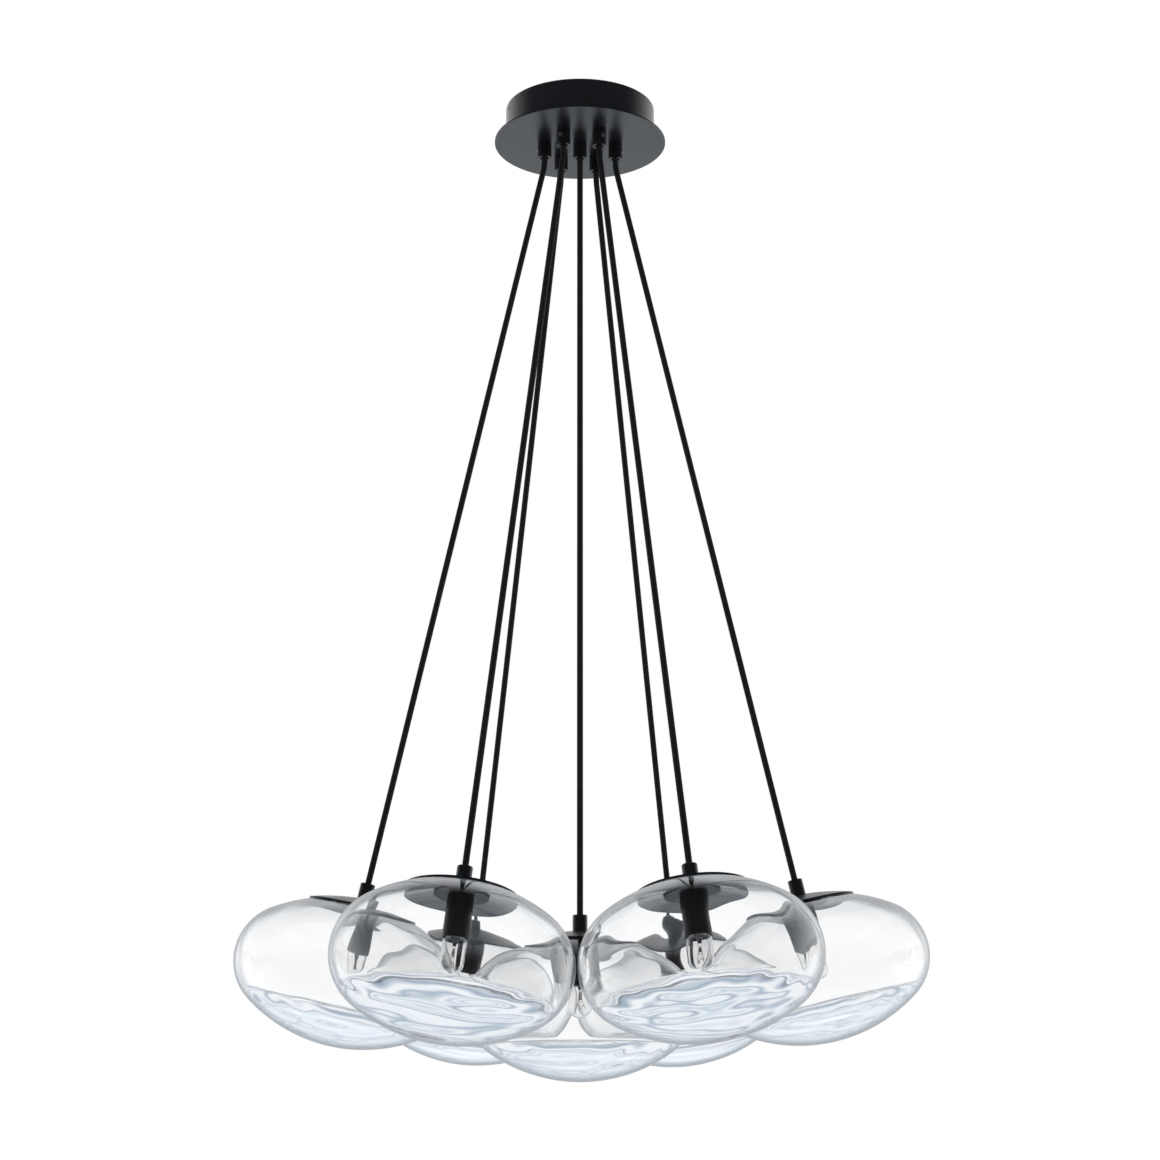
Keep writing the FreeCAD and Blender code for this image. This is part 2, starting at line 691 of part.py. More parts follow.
def low_grip(label):
    return revolved(label, [
        ("nipple_bore", "cap_top", None),
        ("grip_radius", "cap_top", None),
        ("grip_radius", "low_grip_edge_z", None),
        ("low_grip_edge", "low_grip_top", None),
        ("cord_bore", "low_grip_top", None),
        ("cord_bore", "low_grip_shoulder", None),
        ("wire_way", "low_grip_shoulder", None),
        ("wire_way", "nipple_bore_top", None),
        ("nipple_bore", "nipple_bore_top", None),
    ])


def lampholder(label):
    """Barrel, seat flange and threaded nipple, with the screw shell's bore and a wiring room."""
    return revolved(label, [
        ("holder_mouth", "holder_low", None),
        ("holder_radius", "holder_low", None),
        ("holder_radius", "flange_low", None),
        ("flange_radius", "flange_low", None),
        ("flange_radius", "flange_top", None),
        ("nipple_radius", "flange_top", None),
        ("nipple_radius", "nipple_top", None),
        ("wire_way", "nipple_top", None),
        ("wire_way", "room_top", None),
        ("room_radius", "room_top", None),
        ("room_radius", "room_low", None),
        (ZERO, "room_low", None),
        (ZERO, "shell_top", None),
        ("shell_bore", "shell_top", None),
        ("shell_bore", "holder_mouth_top", None),
        ("holder_mouth", "holder_mouth_top", None),
    ])


def bulb_base(label):
    return revolved(label, [
        (ZERO, "base_low", None),
        ("base_radius", "base_low", None),
        ("base_radius", "base_shell_top", None),
        ("contact_radius", "contact_low", None),
        ("contact_radius", "base_top", None),
        (ZERO, "base_top", None),
    ])


def bulb_glass(label):
    return revolved(label, [
        (ZERO, "bulb_low", None),
        ("bulb_radius", "bulb_dome_z", (LEFT, "bulb_radius")),
        ("bulb_radius", "bulb_shoulder_z", None),
        ("bulb_neck", "base_low", (LEFT, "bulb_shoulder_radius")),
        ("bulb_neck_inner", "base_low", None),
        ("bulb_neck_inner", "bulb_neck_low", None),
        ("bulb_inner", "bulb_shoulder_z", (RIGHT, "bulb_inner_shoulder")),
        ("bulb_inner", "bulb_dome_z", None),
        (ZERO, "bulb_inner_low", (RIGHT, "bulb_inner")),
    ])


def leaning_cord(label, pendant):
    """One taut run from the bend under the grip's mouth to the socket of the pendant's own grip."""
    body = new_body(label)
    section = new_sketch(body, "XY_Plane")
    circles(section, [(ZERO, ZERO)], "cord_diameter")
    spine = new_sketch(body, "XZ_Plane")
    bend = V(0, number("bend_start"), 0)
    end = V(size(pendant + "_end_x"), size(pendant + "_end_z"), 0)
    way = (end - bend).normalize()
    radius = size(pendant + "_bend_radius")
    tangent = radius * math.tan(math.radians(size(pendant + "_tilt")) / 2)
    start_of_arc = bend + V(0, tangent, 0)
    end_of_arc = bend + way * tangent
    centre = start_of_arc + V(radius, 0, 0)
    middle = centre + (bend - centre).normalize() * radius
    first = spine.addGeometry(Part.LineSegment(V(0, 0, 0), start_of_arc), False)
    arc = spine.addGeometry(Part.Arc(start_of_arc, middle, end_of_arc), False)
    last = spine.addGeometry(Part.LineSegment(end_of_arc, end), False)
    spine.addConstraint(Constraint("Coincident", first, 1, *ORIGIN))
    spine.addConstraint(Constraint("PointOnObject", first, 2, V_AXIS))
    starts = (spine.Geometry[arc].StartPoint - start_of_arc).Length < 1e-6
    spine.addConstraint(Constraint("Tangent", first, 2, arc, 1 if starts else 2))
    spine.addConstraint(Constraint("Tangent", arc, 2 if starts else 1, last, 1))
    dimension(spine, "Radius", (arc,), pendant + "_bend_radius")
    place_point(spine, last, 2, pendant + "_end_x", pendant + "_end_z")
    pipe = body.newObject("PartDesign::AdditivePipe", label + "_tube")
    pipe.Profile = section
    pipe.Spine = spine
    run = (end - end_of_arc).Length
    length = (start_of_arc.Length + radius * math.radians(size(pendant + "_tilt")) + run)
    return body, length


def hanging_cord(label):
    body = new_body(label)
    cord = body.newObject("PartDesign::AdditiveCylinder", label + "_tube")
    cord.setExpression("Radius", "Sizes.cord_radius")
    cord.setExpression("Height", "Sizes.centre_cord_length")
    cord.setExpression("Placement.Base.z", "-Sizes.centre_cord_length")
    return body, size("centre_cord_length")


PENDANT_PIECES = {
    "cord_grip": low_grip,
    "cap": cap,
    "glass_globe": glass_globe,
    "lampholder": lampholder,
    "bulb_glass": bulb_glass,
    "bulb_base": bulb_base,
}

nodes = [
    canopy_plate(), canopy_drum(), ceiling_bracket(), side_screws(), plate_screws(), earth_screw(),
    terminal_block(), canopy_cord_grips(), grip_lock_nuts(), grip_set_screws(), cord_tails(),
]
cords = []


def hang_pendant(pendant, cord, length, heading, tilt, grip, globe):
    """Places one cord by its pivot and the pieces under it by the middle of their globe."""
    cord.Placement = FreeCAD.Placement(V(*grip, size("pivot_z")), turn_about_z(heading))
    cords.append((cord, length))
    nodes.append(cord)
    lean = turn_about_z(heading) * FreeCAD.Rotation(V(0, 1, 0), -tilt)
    for piece, make in PENDANT_PIECES.items():
        body = make(f"{piece}_{pendant}")
        body.Placement = FreeCAD.Placement(globe, lean)
        nodes.append(body)


for pendant, bearing, lean_out, drop in OUTER_PENDANTS:
    cord, length = leaning_cord("cord_" + pendant, pendant)
    heading = math.degrees(math.atan2(size(pendant + "_way_y"), size(pendant + "_way_x")))
    grip = (size(pendant + "_grip_x"), size(pendant + "_grip_y"))
    globe = V(size(pendant + "_globe_x"), size(pendant + "_globe_y"), -size(pendant + "_drop"))
    hang_pendant(pendant, cord, length, heading, size(pendant + "_tilt"), grip, globe)
    print(f"cord_{pendant}: bend radius {size(pendant + '_bend_radius'):.1f}, length {length:.1f} mm")
cord, length = hanging_cord("cord_" + CENTRE)
hang_pendant(CENTRE, cord, length, 0, 0, (0, 0), V(0, 0, -size("centre_drop")))

# ---------------------------------------------------------------- checks and files
doc.recompute()
for item in doc.Objects:
    if {"Invalid", "Error"} & set(item.State):
        raise RuntimeError(f"{item.Label} didn't build: {item.State}")
for node in nodes:
    if node.Shape.isNull() or not node.Shape.isValid():
        raise RuntimeError(f"{node.Label} has no valid solid")
section_area = math.pi * size("cord_radius") ** 2
for cord, length in cords:
    share = cord.Shape.Volume / (section_area * length)
    if abs(share - 1) > 0.001:
        raise RuntimeError(f"{cord.Label} has {share:.4f} of its section times its length")
os.makedirs("parts", exist_ok=True)
for node in nodes:
    node.Shape.exportStep(f"parts/{node.Label}.step")
print(len(nodes), "sub-parts,", sum(len(node.Shape.Solids) for node in nodes), "solids")
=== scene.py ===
# %% [markdown]
# # A cluster of seven glass pendants
# The lamp hangs from a round black canopy. Seven cords drop from it, and each one
# carries a black cap, a lampholder, a clear bulb and a thick blown globe of clear glass.
# The imported CAD model fixes every place and size, so it is loaded first, and whatever
# is built here goes round it.

# %% Load the fixed model
import json
import math
from collections import namedtuple

import bpy
import numpy as np
from mathutils import Matrix, Vector


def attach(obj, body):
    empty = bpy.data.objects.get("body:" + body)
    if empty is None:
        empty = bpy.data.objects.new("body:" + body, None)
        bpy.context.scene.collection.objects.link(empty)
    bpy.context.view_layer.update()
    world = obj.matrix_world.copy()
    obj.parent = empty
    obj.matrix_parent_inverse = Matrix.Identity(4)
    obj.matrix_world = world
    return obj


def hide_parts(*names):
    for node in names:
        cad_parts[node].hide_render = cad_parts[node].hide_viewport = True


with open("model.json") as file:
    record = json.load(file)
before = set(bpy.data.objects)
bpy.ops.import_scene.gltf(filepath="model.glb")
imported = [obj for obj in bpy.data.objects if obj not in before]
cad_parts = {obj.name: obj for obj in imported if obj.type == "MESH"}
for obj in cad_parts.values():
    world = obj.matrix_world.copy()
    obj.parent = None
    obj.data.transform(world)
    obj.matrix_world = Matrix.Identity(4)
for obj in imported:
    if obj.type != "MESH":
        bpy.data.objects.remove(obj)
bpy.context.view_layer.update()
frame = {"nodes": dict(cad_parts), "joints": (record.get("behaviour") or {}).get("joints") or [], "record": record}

MM = 0.001
FULL_TURN = 2 * math.pi

# %% [markdown]
# ## Where the seven pendants hang
# Each pendant swings about a point just inside its grip on the canopy, and its bulb
# slides out along the pendant's own axis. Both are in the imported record, so the scene
# reads them there and needs only one more length: how far the cord runs dead straight
# below its bend. The outer cords leave straight down, bend within 12 mm, and run on.

# %% Read each pendant's axis from the joints
CORD_DIAMETER = 6.8 * MM
BEND_DROP = 12 * MM
CORD_END_ABOVE_GLOBE = 88 * MM
STRAIGHT_RUNS = {
    "right": 865.21 * MM,
    "back_right": 880.44 * MM,
    "back_left": 879.36 * MM,
    "left": 868.74 * MM,
    "front_left": 872.40 * MM,
    "front_right": 871.41 * MM,
    "centre": 881.20 * MM,
}

UPRIGHT = 0.9999

Pendant = namedtuple("Pendant", "name body bulb_body route place")
joints = {joint["name"]: joint for joint in frame["joints"]}


def upright_frame(origin, up):
    """The pendant's own frame: origin in the middle of its globe, Z up along the cord."""
    outward = Vector((-up.x, -up.y, 0)) if up.z < UPRIGHT else Vector((1, 0, 0))
    across = up.cross(outward).normalized()
    turn = Matrix((across.cross(up), across, up)).transposed()
    return Matrix.Translation(origin) @ turn.to_4x4()


def read_pendant(name):
    swing = "centre_twist" if name == "centre" else f"{name}_swing"
    pivot = Vector(joints[swing]["pos_m"])
    down = Vector(joints[f"{name}_bulb_out"]["axis"]).normalized()
    bend = pivot - Vector((0, 0, BEND_DROP))
    run = STRAIGHT_RUNS[name]
    route = [pivot, bend, bend + down * BEND_DROP, bend + down * run]
    globe = route[-1] + down * CORD_END_ABOVE_GLOBE
    return Pendant(name, f"pendant_{name}", f"bulb_{name}", route, upright_frame(globe, -down))


pendants = [read_pendant(name) for name in STRAIGHT_RUNS]
for pendant in pendants:
    lean = math.degrees(math.acos(pendant.place.col[2].z))
    globe_place = [round(x, 3) for x in pendant.place.translation]
    print(f"{pendant.name}: globe at {globe_place}, leans {lean:.1f} deg")

# %% [markdown]
# ## The camera
# The photograph looks up at the lamp from a little below its globes' level with a long
# lens. A long lens far away keeps the near and far globes close in size, as they are
# in the photograph. The camera looks along +Y and up a little, from the lamp's -Y side.

# %% Place the camera
CAMERA_PLACE = (0, -2.474, -1.1735)
CAMERA_PITCH = math.radians(13.75)
CAMERA_LENS = 70.6


def camera():
    lens = bpy.data.cameras.new("camera")
    lens.lens = CAMERA_LENS
    made = bpy.data.objects.new("camera", lens)
    made.location = CAMERA_PLACE
    made.rotation_euler = (math.radians(90) + CAMERA_PITCH, 0, 0)
    bpy.context.scene.collection.objects.link(made)
    bpy.context.scene.camera = made


camera()

# %% [markdown]
# ## The cords
# A loaded cord hangs dead straight. Only the first few millimetres bend, where the cord
# comes out of a grip that is screwed straight into the canopy. A smooth curve through
# few points with a round bevel gives that, and a tube made of many short pieces would
# look like bent wire. The third point sits close below the corner, so the bend stays
# where it is on the real cord and doesn't spread down the long run.

# %% Hang the cords
BEVEL_STEPS = 6
CURVE_STEPS = 14


def round_wires(name, routes, diameter):
    """One curve object of smooth round wires. Each point's radius is the wire's own."""
    curve = bpy.data.curves.new(name, "CURVE")
    curve.dimensions = "3D"
    curve.bevel_depth = 1.0
    curve.bevel_resolution = BEVEL_STEPS
    curve.resolution_u = CURVE_STEPS
    curve.use_fill_caps = True
    for route in routes:
        spline = curve.splines.new("NURBS")
        spline.points.add(len(route) - 1)
        for point, place in zip(spline.points, route):
            point.co = (*place, 1)
            point.radius = diameter / 2
        spline.order_u = 3
        spline.use_endpoint_u = True
    piece = bpy.data.objects.new(name, curve)
    bpy.context.scene.collection.objects.link(piece)
    return piece


def cord(pendant):
    piece = round_wires(f"cable_{pendant.name}", [pendant.route], CORD_DIAMETER)
    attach(piece, pendant.body)
    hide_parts(f"cord_{pendant.name}")
    return piece


cords = [cord(pendant) for pendant in pendants]

# %% [markdown]
# ## How the finishes are written
# A material is a net of nodes, and a net is tedious to wire by hand. Here a node's
# output is wrapped so that ordinary arithmetic adds the Math nodes: `1 - mask` or
# `0.3 + 0.1 * grain` reads as the sum that it is. Every other node comes from one
# method, which sets the node's settings first and then its sockets.

# %% A socket that arithmetic works on, and a finish that makes nodes


class Field:
    """A number that changes over a surface: the output of a node."""

    def __init__(self, finish, socket):
        self.finish = finish
        self.socket = socket

    def calculate(self, operation, first, second):
        return self.finish.node("ShaderNodeMath", {"operation": operation}, {0: first, 1: second})

    def __add__(self, other):
        return self.calculate("ADD", self, other)

    def __sub__(self, other):
        return self.calculate("SUBTRACT", self, other)

    def __rsub__(self, other):
        return self.calculate("SUBTRACT", other, self)

    def __mul__(self, other):
        return self.calculate("MULTIPLY", self, other)

    __radd__ = __add__
    __rmul__ = __mul__


class Finish:
    """A net of nodes that is being written, in a material or in the world."""

    def __init__(self, owner):
        self.owner = owner
        owner.use_nodes = True
        self.tree = owner.node_tree

    def node(self, kind, settings=None, sockets=None, output=0):
        made = self.tree.nodes.new(kind)
        for name, value in (settings or {}).items():
            if name == "stops":
                self.set_stops(made.color_ramp, value)
            else:
                setattr(made, name, value)
        for name, value in (sockets or {}).items():
            self.feed(made.inputs[name], value)
        return Field(self, made.outputs[output])

    def set_stops(self, ramp, stops):
        while len(ramp.elements) < len(stops):
            ramp.elements.new(0.5)
        for element, (position, colour) in zip(ramp.elements, stops):
            element.position = position
            element.color = (*colour, 1)

    def feed(self, socket, value):
        if isinstance(value, Field):
            self.tree.links.new(value.socket, socket)
        else:
            socket.default_value = value

    def mix(self, factor, first, second):
        """From one colour to another."""
        sockets = {"Factor": factor, 6: with_alpha(first), 7: with_alpha(second)}
        return self.node("ShaderNodeMix", {"data_type": "RGBA"}, sockets, output=2)


def with_alpha(colour):
    return colour if isinstance(colour, Field) else (*colour, 1)


class Paint(Finish):
    """A material with one Principled shader. Constants go straight onto its sockets."""

    def __init__(self, name, **constants):
        super().__init__(bpy.data.materials.new(name))
        self.shader = self.tree.nodes["Principled BSDF"]
        self.set(**constants)

    def set(self, **values):
        for name, value in values.items():
            socket = self.shader.inputs[name.replace("_", " ")]
            is_colour = socket.type == "RGBA" and not isinstance(value, Field)
            self.feed(socket, (*value, 1) if is_colour else value)

    def places(self, kind="Object"):
        return self.node("ShaderNodeTexCoord", output=kind)

    def noise(self, scale, detail):
        sockets = {"Vector": self.places(), "Scale": scale, "Detail": detail}
        return self.node("ShaderNodeTexNoise", {"noise_dimensions": "3D"}, sockets)

    def bump(self, height, depth):
        """Lets height, from 0 to 1, stand up to depth metres proud."""
        sockets = {"Height": height, "Distance": depth, "Strength": 1.0}
        self.set(Normal=self.node("ShaderNodeBump", None, sockets))


# %% [markdown]
# ## The black finishes
# Nothing on the lamp is plain black. The canopy has a satin powder coat: a faint
# orange peel that blurs what it mirrors, so each grip throws a soft dark streak on it.
# The turned grips have a fine grain, the spun caps are duller and a little cloudy, and
# the lampholders are moulded. The blacks differ in roughness, shine and relief far more
# than in colour, so that is where the nodes go. Sizes here are those of one speck or
# cloud on the surface, and a noise texture's scale is one divided by that size.

# %% Powder coat, turned black and moulded black
PEEL_SIZE, PEEL_DEPTH, COAT_CLOUD = 1.1 * MM, 0.012 * MM, 60 * MM
TURNED_GRAIN, TURNED_DEPTH = 0.5 * MM, 0.006 * MM
SPUN_GRAIN, SPUN_DEPTH, SPUN_CLOUD = 0.7 * MM, 0.008 * MM, 25 * MM
MOULDED_GRAIN, MOULDED_DEPTH, MOULDED_CLOUD = 0.35 * MM, 0.01 * MM, 14 * MM


def powder_coat():
    paint = Paint("satin_powder_coat")
    cloud = paint.noise(1 / COAT_CLOUD, 3)
    peel = paint.noise(1 / PEEL_SIZE, 3)
    paint.set(
        Base_Color=paint.mix(cloud, (0.006, 0.007, 0.009), (0.012, 0.014, 0.018)),
        Roughness=0.24 + 0.1 * cloud,
    )
    paint.bump(peel, PEEL_DEPTH)
    return paint.owner


def turned_black():
    paint = Paint("turned_black")
    grain = paint.noise(1 / TURNED_GRAIN, 2)
    paint.set(
        Base_Color=paint.mix(grain, (0.005, 0.005, 0.006), (0.010, 0.011, 0.013)),
        Roughness=0.24 + 0.12 * grain,
    )
    paint.bump(grain, TURNED_DEPTH)
    return paint.owner


def spun_black():
    paint = Paint("spun_black", Specular_IOR_Level=0.2)
    cloud = paint.noise(1 / SPUN_CLOUD, 3)
    grain = paint.noise(1 / SPUN_GRAIN, 2)
    paint.set(
        Base_Color=paint.mix(cloud, (0.005, 0.007, 0.009), (0.010, 0.013, 0.017)),
        Roughness=0.26 + 0.12 * cloud,
    )
    paint.bump(grain, SPUN_DEPTH)
    return paint.owner


def moulded_black():
    paint = Paint("moulded_black", Specular_IOR_Level=0.3)
    grain = paint.noise(1 / MOULDED_GRAIN, 2)
    cloud = paint.noise(1 / MOULDED_CLOUD, 2)
    paint.set(
        Base_Color=paint.mix(cloud, (0.005, 0.005, 0.007), (0.010, 0.011, 0.014)),
        Roughness=0.33 + 0.1 * grain,
    )
    paint.bump(grain, MOULDED_DEPTH)
    return paint.owner


# %% [markdown]
# ## The cord's sleeve
# From a step away the cord is a matte black line. Close up it is a round sleeve with a
# fine woven skin. The weave runs round and along the cord, so it follows the curve's
# own map, in which u goes along and v goes round.

# %% Woven cord
WEAVE_ALONG = 620
WEAVE_ROUND = 12
WEAVE_DEPTH = 0.12 * MM


def woven_sleeve():
    paint = Paint("woven_sleeve", Specular_IOR_Level=0.35)
    along, around = (
        paint.node("ShaderNodeSeparateXYZ", None, {0: paint.places("UV")}, output=axis)
        for axis in ("X", "Y")
    )
    one_way = along * WEAVE_ALONG + around * WEAVE_ROUND
    other_way = along * WEAVE_ALONG - around * WEAVE_ROUND
    threads = [
        paint.node("ShaderNodeMath", {"operation": "SINE"}, {0: way * FULL_TURN})
        for way in (one_way, other_way)
    ]
    weave = 0.5 + 0.25 * (threads[0] + threads[1])
    paint.set(
        Base_Color=paint.mix(weave, (0.006, 0.006, 0.007), (0.014, 0.014, 0.016)),
        Roughness=0.75 - 0.15 * weave,
    )
    paint.bump(weave, WEAVE_DEPTH)
    return paint.owner


# %% [markdown]
# ## Metals, plastic and the small screws
# These are mostly out of sight: the bracket, nuts and screws inside the canopy, and the
# bulbs' bases, which show when a bulb is taken out. Bare metal is all roughness: a
# scratched or cloudy roughness map makes it read as steel, brass or zinc.

# %% Bare metals and the terminal block's plastic
METAL_RELIEF = 0.01 * MM
PALER = 1.25
BLOCK_GRAIN, BLOCK_RELIEF = 0.8 * MM, 0.01 * MM


def bare_metal(name, colour, roughness, grain_size):
    paint = Paint(name, Metallic=1.0)
    grain = paint.noise(1 / grain_size, 4)
    paler = [min(1, PALER * part) for part in colour]
    paint.set(
        Base_Color=paint.mix(grain, colour, paler),
        Roughness=roughness + 0.2 * grain,
    )
    paint.bump(grain, METAL_RELIEF)
    return paint.owner


def block_plastic():
    paint = Paint("block_plastic")
    grain = paint.noise(1 / BLOCK_GRAIN, 2)
    paint.set(
        Base_Color=paint.mix(grain, (0.62, 0.61, 0.57), (0.70, 0.69, 0.66)),
        Roughness=0.4 + 0.15 * grain,
    )
    paint.bump(grain, BLOCK_RELIEF)
    return paint.owner


# %% [markdown]
# ## Clear glass
# Glass has hardly a colour of its own. A globe reads as glass through its darker rims,
# where a ray runs a long way inside the wall, and through what it bends. The rims get
# their grey from two things: glass that takes a little light for each millimetre, and
# painted shade, a base colour that deepens where the surface is seen edge on. The last
# millimetre or two of the rim turns into a dark line, painted shade from an opaque dark
# shader, which is what draws a clear globe before a white wall. Light that has bounced
# off the inside of a thick base would be mirrored to and fro until the renderer gives it
# up as black. So after one such bounce it goes out straight: the Light Path node tells
# which rays have just bounced.

# %% Two kinds of glass
GLASS_IOR = 1.5
GLASS_SHINE = 0.3
# The edge and rim values below shape painted shade on the glass's rims.
EDGE_SHADE_END = 0.9
RIM_SHADE_START, RIM_SHADE_END = 0.70, 0.95
PAINTED_RIM_SHADE, RIM_SHADE_ROUGHNESS = (0.06, 0.08, 0.11), 0.3


def clear_glass(name, painted_edge_shade, edge_shade_start, rim_shade_depth, tint, density):
    """Tint is what is left of white light, and density is how fast, for each metre."""
    paint = Paint(
        name,
        Transmission_Weight=1.0,
        IOR=GLASS_IOR,
        Roughness=0.0,
        Specular_IOR_Level=GLASS_SHINE,
    )
    # Painted shade: the base colour darkens from white to the edge colour where the surface is seen edge on.
    facing = paint.node("ShaderNodeLayerWeight", None, {"Blend": 0.5}, output="Facing")
    edge_shade_mask = paint.node(
        "ShaderNodeMapRange",
        {"interpolation_type": "SMOOTHSTEP"},
        {"Value": facing, "From Min": edge_shade_start, "From Max": EDGE_SHADE_END},
    )
    paint.set(Base_Color=paint.mix(edge_shade_mask, (1, 1, 1), painted_edge_shade))
    # Painted shade: an opaque dark shader is mixed in as a dark line where the rim is seen edge on.
    rim_shade_range = {"Value": facing, "From Min": RIM_SHADE_START, "From Max": RIM_SHADE_END, "To Max": rim_shade_depth}
    rim_shade_mask = paint.node("ShaderNodeMapRange", {"interpolation_type": "SMOOTHSTEP"}, rim_shade_range)
    painted_rim_sockets = {"Base Color": (*PAINTED_RIM_SHADE, 1), "Roughness": RIM_SHADE_ROUGHNESS}
    painted_rim_line = paint.node("ShaderNodeBsdfPrincipled", None, painted_rim_sockets)
    glass = Field(paint, paint.shader.outputs[0])
    glass_with_painted_rim = paint.node("ShaderNodeMixShader", None, {0: rim_shade_mask, 1: glass, 2: painted_rim_line})
    mirrored = paint.node("ShaderNodeLightPath", output="Is Reflection Ray")
    straight_out = paint.node("ShaderNodeBsdfTransparent")
    both = paint.node("ShaderNodeMixShader", None, {0: mirrored, 1: glass_with_painted_rim, 2: straight_out})
    absorption = {"Color": (*tint, 1), "Density": density}
    volume = paint.node("ShaderNodeVolumeAbsorption", None, absorption)
    output = paint.tree.nodes["Material Output"]
    paint.feed(output.inputs["Surface"], both)
    paint.feed(output.inputs["Volume"], volume)
    return paint.owner


# %% [markdown]
# ## Give every CAD piece its finish
# The record names a material slot for each CAD piece, so the finishes are made once,
# by slot, and handed out by that name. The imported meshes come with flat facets. A weld
# and an edge split, as modifiers, let round faces shade round and keep corners sharp,
# and leave the mesh itself as it was.

# %% Hand out the finishes
finishes = {
    "canopy_black": powder_coat(),
    "grip_black": turned_black(),
    "cap_black": spun_black(),
    "holder_black": moulded_black(),
    "cord_black": woven_sleeve(),
    # Each glass's edge colour and rim depth are painted shade on its rims.
    "clear_glass": clear_glass(
        "globe_glass",
        painted_edge_shade=(0.10, 0.15, 0.22),
        edge_shade_start=0.62,
        rim_shade_depth=0.85,
        tint=(0.1, 0.5, 0.8),
        density=0.6,
    ),
    "bulb_clear_glass": clear_glass(
        "bulb_glass",
        painted_edge_shade=(0.16, 0.14, 0.13),
        edge_shade_start=0.5,
        rim_shade_depth=0.35,
        tint=(0.5, 0.45, 0.4),
        density=12.0,
    ),
    "bulb_metal": bare_metal("bulb_metal", (0.62, 0.60, 0.56), 0.22, 2 * MM),
    "zinc_steel": bare_metal("zinc_steel", (0.52, 0.53, 0.54), 0.3, 6 * MM),
    "screw_black": turned_black(),
    "set_screw_steel": bare_metal("set_screw_steel", (0.60, 0.60, 0.62), 0.25, 1 * MM),
    "brass": bare_metal("brass", (0.60, 0.44, 0.20), 0.25, 3 * MM),
    "block_plastic": block_plastic(),
}
SHARP_CORNER = math.radians(32)
SAME_POINT = 0.001 * MM


def give_finish(piece, finish):
    piece.data.materials.clear()
    piece.data.materials.append(finish)


def shade_round(piece):
    piece.data.shade_smooth()
    weld = piece.modifiers.new("weld", "WELD")
    weld.merge_threshold = SAME_POINT
    split = piece.modifiers.new("corners", "EDGE_SPLIT")
    split.split_angle = SHARP_CORNER


slot_of = {part["node"]: part["material_slot"] for part in frame["record"]["subparts"]}
for node, piece in frame["nodes"].items():
    give_finish(piece, finishes[slot_of[node]])
    shade_round(piece)
for piece in cords:
    give_finish(piece, finishes["cord_black"])
print(len(frame["nodes"]), "CAD pieces have a finish")

# %% [markdown]
# ## Pieces turned on a lathe
# A globe, a bulb's base and its glass stem are all round, so each is one outline turned
# about its axis. The outline starts on the axis and ends on it, which closes the mesh.
# Before the faces are made, a piece may let its points wander a little, because blown
# glass is never as true as its drawing.

# %% Turn an outline into a mesh


def turned_mesh(name, outline, steps, wander=None):
    """One closed mesh from (radius, height) points that start and end on the axis."""
    radius, height = (np.repeat(part[:, None], steps, 1) for part in np.asarray(outline).T)
    angle = np.tile(np.arange(steps) * FULL_TURN / steps, (len(outline), 1))
    if wander:
        radius, height = wander(radius, height, angle)
    points = np.stack((radius * np.cos(angle), radius * np.sin(angle), height), -1)
    rings = points[1:-1].reshape(-1, 3)
    ends = [(0, 0, height[0].mean()), (0, 0, height[-1].mean())]
    first_end, last_end = len(rings), len(rings) + 1
    last_ring = len(rings) - steps
    faces = []
    for near in range(steps):
        far = (near + 1) % steps
        faces.append((first_end, far, near))
        faces.append((last_end, last_ring + near, last_ring + far))
        for ring in range(0, last_ring, steps):
            faces.append((ring + near, ring + far, ring + steps + far, ring + steps + near))
    mesh = bpy.data.meshes.new(name)
    mesh.from_pydata([*rings.tolist(), *ends], [], faces)
    mesh.shade_smooth()
    return mesh


def hang(mesh, pendant, body, slot, *nodes):
    """Puts a mesh in its pendant's frame, to ride on a body and stand for CAD nodes."""
    mesh.transform(pendant.place)
    piece = bpy.data.objects.new(mesh.name, mesh)
    bpy.context.scene.collection.objects.link(piece)
    give_finish(piece, finishes[slot])
    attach(piece, body)
    if nodes:
        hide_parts(*nodes)
    return piece


def arc(middle, radius, start, stop, count):
    """Points on a round arc between two angles, without the last one."""
    angle = np.linspace(start, stop, count, endpoint=False)
    return np.asarray(middle) + radius * np.column_stack((np.cos(angle), np.sin(angle)))


# %% [markdown]
# ## The blown globes
# A globe is a flattened ball, 244 mm wide and 157 mm high, with a thin wall and a solid
# base over 30 mm thick. Its section is three round arcs that run into one another: the
# crown, the side and the underside. Seen from the side, the floor inside the base is a
# nearly straight line, and the solid glass below it is full of streaks. Those aren't
# painted on. They are the floor's own folds, seen through the base as through a lens, so
# the mesh has the folds, and the glass does the rest. The wall is a little uneven from
# the blowing too, which is what makes a cap seen through a globe look ragged.

# %% Draw the globe's outline
HALF_WIDTH = 122 * MM
HALF_HEIGHT = 78.5 * MM
SIDE_RADIUS = 59.5 * MM
GLASS_WALL = 3 * MM
SIDE_MIDDLE = HALF_WIDTH - SIDE_RADIUS
CROWN_RADIUS = (HALF_WIDTH**2 + HALF_HEIGHT**2 - 2 * HALF_WIDTH * SIDE_RADIUS) / (
    2 * (HALF_HEIGHT - SIDE_RADIUS)
)
CROWN_DEPTH = CROWN_RADIUS - HALF_HEIGHT
JOIN_ANGLE = math.atan2(CROWN_DEPTH, SIDE_MIDDLE)
GLASS_FLOOR = -(SIDE_RADIUS - GLASS_WALL) * math.sin(JOIN_ANGLE)
FLOOR_BEND_START = 0.8 * GLASS_FLOOR
FLOOR_BEND_END = 76 * MM
HOLE_RADIUS = 25 * MM
LIP_RADIUS = 1.5 * MM
UNDERSIDE_STEPS, SIDE_STEPS, CROWN_STEPS, LIP_STEPS = 30, 34, 24, 7
INNER_SIDE_STEPS, BEND_STEPS, FLOOR_STEPS = 30, 12, 44


